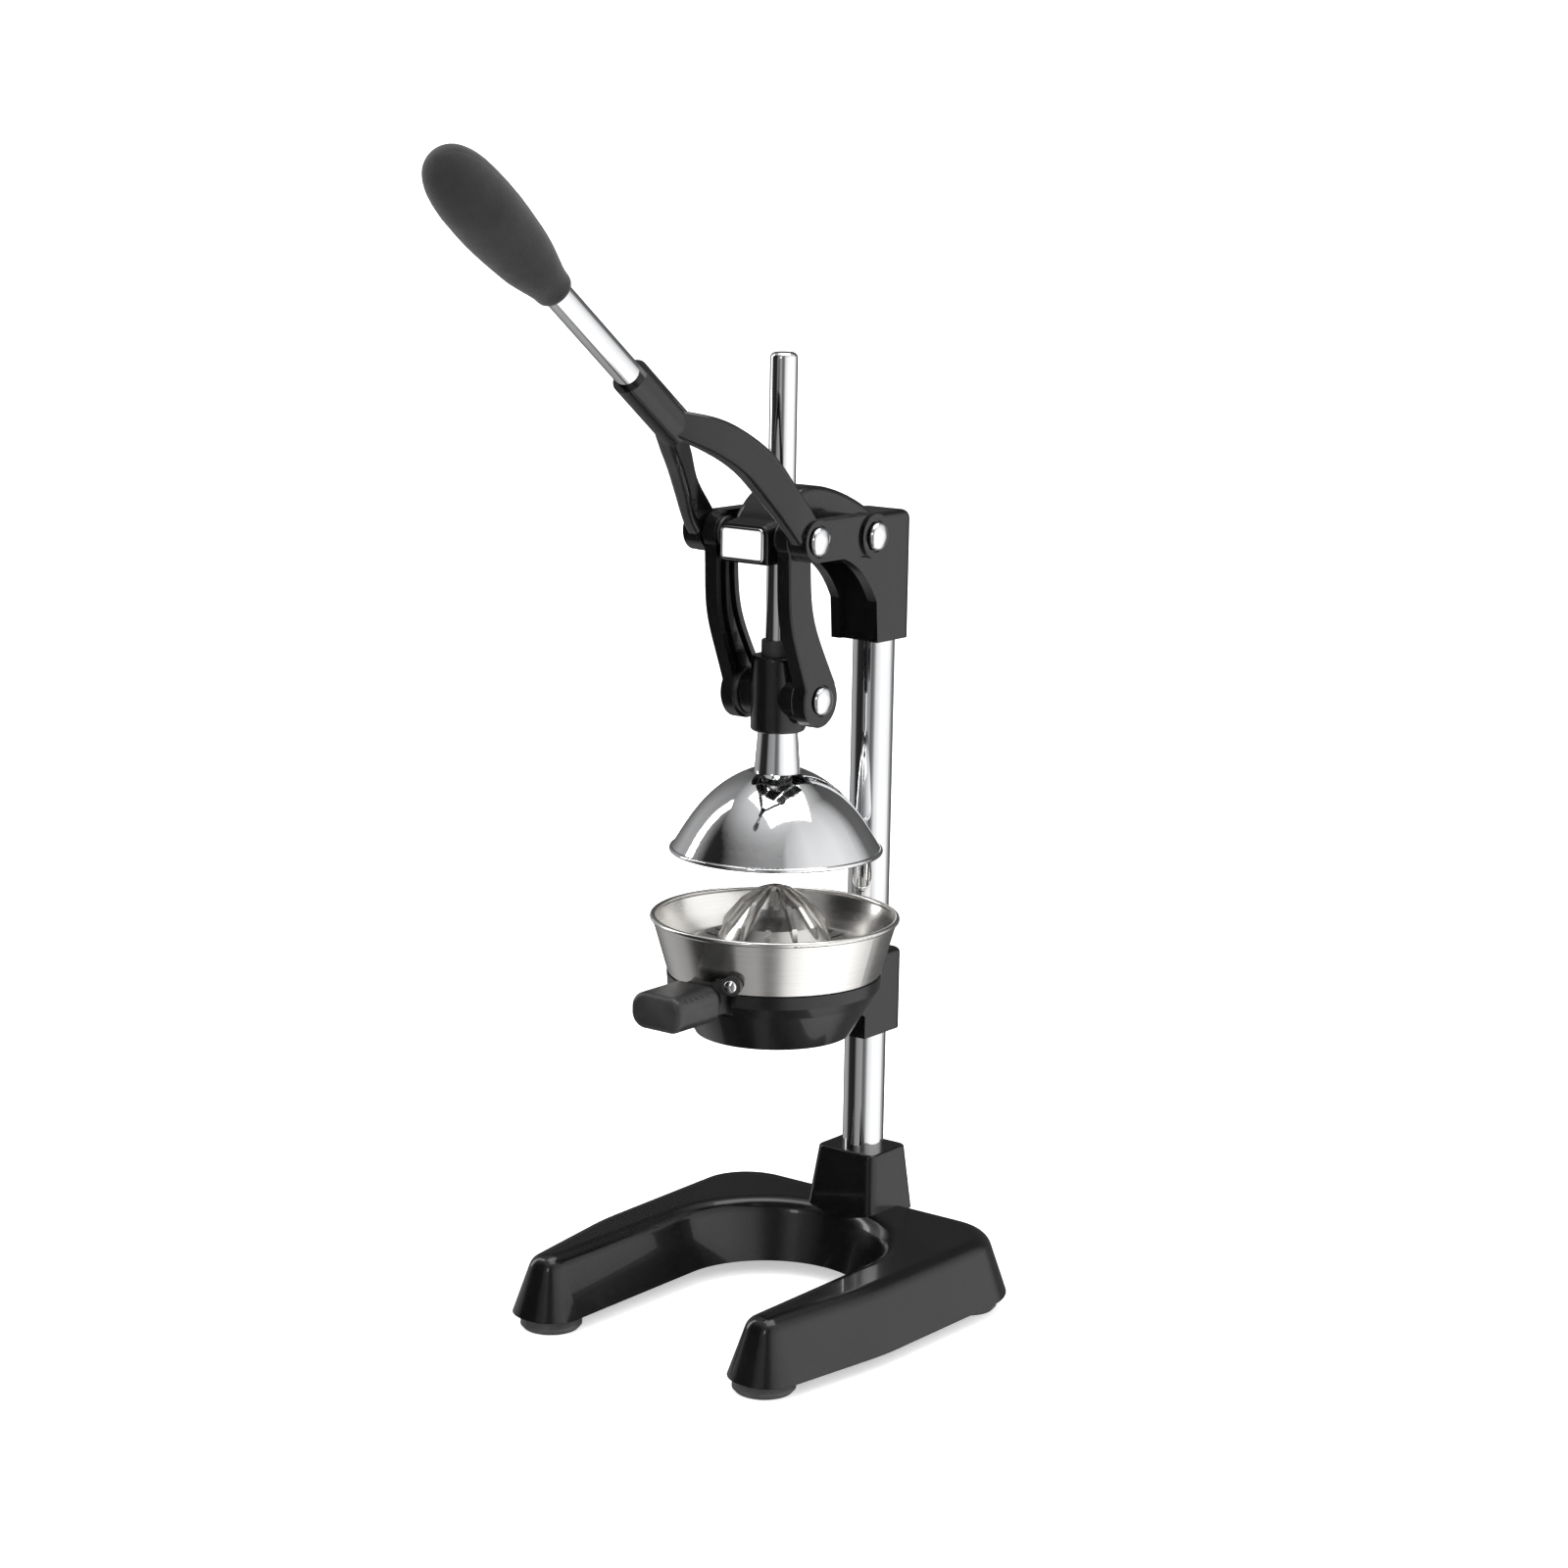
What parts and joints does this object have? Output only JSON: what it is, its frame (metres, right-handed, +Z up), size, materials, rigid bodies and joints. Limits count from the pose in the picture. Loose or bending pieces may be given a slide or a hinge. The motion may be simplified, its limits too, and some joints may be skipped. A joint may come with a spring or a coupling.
{
  "type": "lever citrus press",
  "caption": "Hand lever citrus press: a long lever drives a guided bell down onto a ribbed cone in a steel bowl above a U-shaped cast base.",
  "frame": {"origin": "middle of the footprint of the whole object at rest, on the floor", "axes": "+Z up, the lever handle reaches towards -Y, the column stands at +Y, X runs across the legs"},
  "size_m": [0.2014, 0.3524, 0.5952],
  "materials": {
    "black_enamel": "gloss",
    "bright_chrome": "polished",
    "bowl_steel": "satin",
    "foam": "matte",
    "foot_rubber": "matte",
    "dark_plastic": "satin",
    "plate_white": "gloss",
    "zinc_steel": "satin"
  },
  "bodies": {
    "stand": {"base_casting": "black_enamel", "foot_front_left": "foot_rubber", "foot_front_right": "foot_rubber", "foot_rear_left": "foot_rubber", "foot_rear_right": "foot_rubber", "foot_screws": "zinc_steel", "column_tube": "bright_chrome", "column_bolt": "zinc_steel", "cup_holder": "black_enamel", "holder_set_screw": "zinc_steel", "head_casting": "black_enamel", "head_set_screws": "zinc_steel", "nameplate": "plate_white", "pivot_a_axle": "bright_chrome", "pivot_a_cap_left": "bright_chrome", "pivot_a_cap_right": "bright_chrome"},
    "lever": {"lever_fork": "black_enamel", "handle_tube": "bright_chrome", "foam_grip": "foam", "pivot_b_stud_left": "zinc_steel", "pivot_b_stud_right": "zinc_steel", "pivot_b_cap_left": "bright_chrome", "pivot_b_cap_right": "bright_chrome"},
    "links": {"link_left": "black_enamel", "link_right": "black_enamel", "pivot_c_stud_left": "zinc_steel", "pivot_c_stud_right": "zinc_steel", "pivot_c_cap_left": "bright_chrome", "pivot_c_cap_right": "bright_chrome", "pivot_c_washer_left": "zinc_steel", "pivot_c_washer_right": "zinc_steel"},
    "ram": {"guide_rod": "bright_chrome", "crosshead": "black_enamel", "crosshead_collar": "dark_plastic", "pusher_neck": "bright_chrome", "pusher_bell": "bright_chrome", "bell_nut": "zinc_steel"},
    "bowl": {"juice_bowl": "bowl_steel", "bowl_floor": "bowl_steel", "bowl_spout": "bowl_steel", "bowl_handle_grip": "dark_plastic", "bowl_handle_tang": "dark_plastic", "bowl_handle_screw": "bright_chrome"},
    "strainer_set": {"strainer": "bowl_steel", "reamer_cone": "bowl_steel"}
  },
  "joints": [
    {"name": "lever_pivot", "type": "hinge", "parent": "stand", "child": "lever", "pos_m": [0, 0.10416, 0.405], "axis": [1, 0, 0], "range_deg": [-10, 45]},
    {"name": "ram_slide", "type": "slide", "parent": "stand", "child": "ram", "axis": [0, 0, 1], "range_m": [-0.038, 0.01]},
    {"name": "link_pivot", "type": "hinge", "parent": "lever", "child": "links", "pos_m": [0, 0.05616, 0.4065], "axis": [1, 0, 0], "range_deg": [-53, 13]},
    {"name": "bowl_lift", "type": "slide", "parent": "stand", "child": "bowl", "axis": [0, 0, 1], "range_m": [0, 0.006]},
    {"name": "strainer_lift", "type": "slide", "parent": "bowl", "child": "strainer_set", "axis": [0, 0, 1], "range_m": [0, 0.006]}
  ],
  "couplings": [
    {"joint": "ram_slide", "follows": "lever_pivot", "m_per_rad": -0.046},
    {"joint": "link_pivot", "follows": "lever_pivot", "ratio": -1.15}
  ]
}
